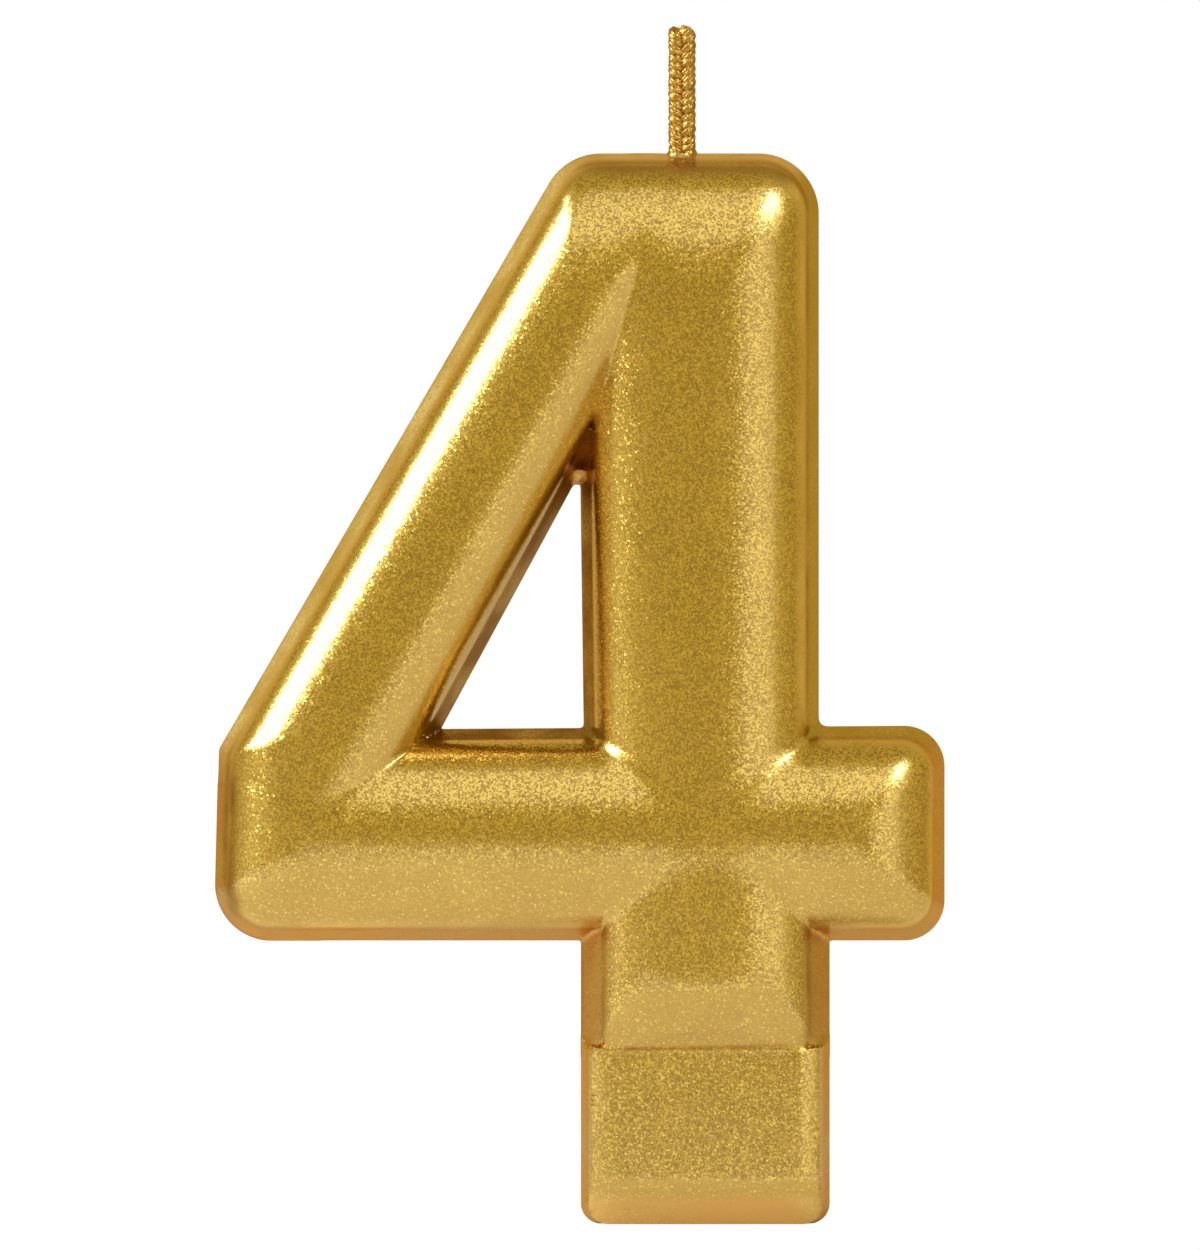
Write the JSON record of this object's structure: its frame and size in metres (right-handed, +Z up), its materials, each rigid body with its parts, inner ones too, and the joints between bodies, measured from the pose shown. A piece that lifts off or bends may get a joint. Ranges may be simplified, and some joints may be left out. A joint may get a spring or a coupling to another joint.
{
  "type": "number candle",
  "caption": "Cake candle in the shape of a four: puffed, gold-dipped wax strokes, an open triangular counter, a flat stub to push into the cake and a plaited wick",
  "frame": {"origin": "middle of the flat foot at the lower end of the stub, on the mid-plane of the candle", "axes": "+X to the right seen from the front, +Z up along the wick, the front faces -Y"},
  "size_m": [0.0505, 0.0126, 0.0829],
  "materials": {
    "wax": "satin",
    "gold_dip": "pearl glitter",
    "cotton": "plaited, dipped"
  },
  "bodies": {
    "root": {"wax_core": "wax", "gold_coat": "gold_dip", "wick_strand_1": "cotton", "wick_strand_2": "cotton", "wick_strand_3": "cotton"}
  },
  "joints": []
}
